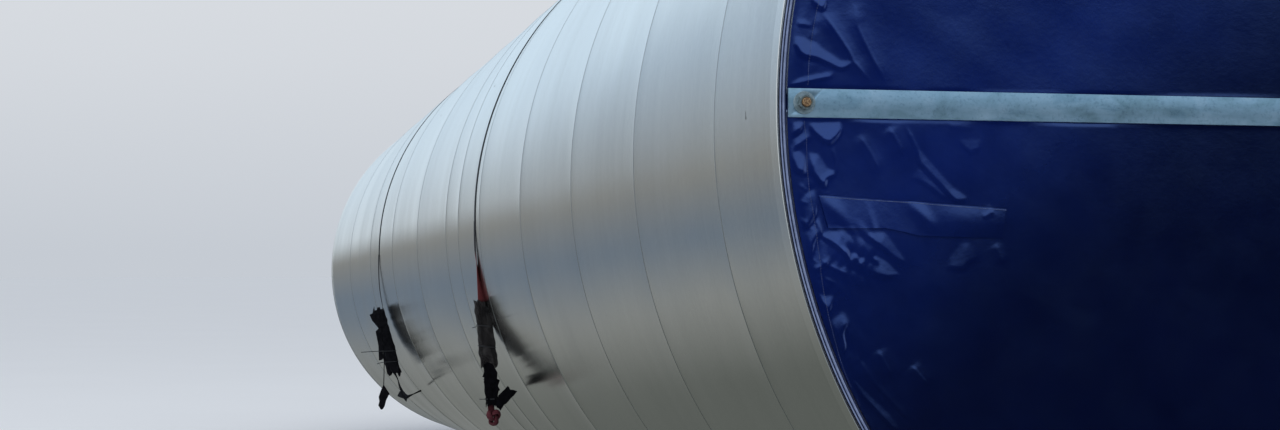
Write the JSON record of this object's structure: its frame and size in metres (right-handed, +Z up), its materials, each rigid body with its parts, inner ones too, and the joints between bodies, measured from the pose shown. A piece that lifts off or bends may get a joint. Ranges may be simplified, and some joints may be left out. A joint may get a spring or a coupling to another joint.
{
  "type": "wind turbine tower section",
  "caption": "Tapered steel tube section of a wind turbine tower, lying on its side, with flanged ends closed by blue tarpaulin covers.",
  "frame": {"origin": "on the floor under the middle of the section, at the middle of its length and width", "axes": "+Z up, +Y along the section from its large near end to its small far end, +X to the right seen from the near end"},
  "size_m": [4.304, 16.659, 4.3007],
  "materials": {
    "shell": "zinc-sprayed steel, satin, fine lines round the shell",
    "flange": "zinc-sprayed steel, satin",
    "cover": "blue coated tarpaulin, glossy, creased",
    "cover_edge": "blue-grey corded hem, glossy",
    "bar": "hot-dip galvanised, matt spangle",
    "stud": "zinc plated nuts and washers, rusty threaded rod",
    "webbing": "woven red webbing, worn",
    "sleeve": "black wear sleeve, creased"
  },
  "bodies": {
    "root": {"shell_ring_01": "shell", "shell_ring_02": "shell", "shell_ring_03": "shell", "shell_ring_04": "shell", "shell_ring_05": "shell", "shell_ring_06": "shell", "shell_ring_07": "shell", "shell_ring_08": "shell", "shell_ring_09": "shell", "shell_ring_10": "shell", "shell_ring_11": "shell", "shell_ring_12": "shell", "near_flange": "flange", "near_cover": "cover", "near_cover_edge": "cover_edge", "near_bar": "bar", "near_stud_left": "stud", "near_stud_right": "stud", "far_flange": "flange", "far_cover": "cover", "far_cover_edge": "cover_edge", "far_bar": "bar", "far_stud_left": "stud", "far_stud_right": "stud", "near_cover_flap": "cover", "strap_near_band": "sleeve", "strap_near_left_web": "webbing", "strap_near_left_sleeve": "sleeve", "strap_near_left_tail": "sleeve", "strap_near_right_web": "webbing", "strap_near_right_sleeve": "sleeve", "strap_near_right_tail": "sleeve", "strap_far_band": "sleeve", "strap_far_left_web": "webbing", "strap_far_left_sleeve": "sleeve", "strap_far_left_tail": "sleeve", "strap_far_left_tag": "sleeve", "strap_far_right_web": "webbing", "strap_far_right_sleeve": "sleeve", "strap_far_right_tail": "sleeve", "strap_far_right_tag": "sleeve"}
  },
  "joints": []
}
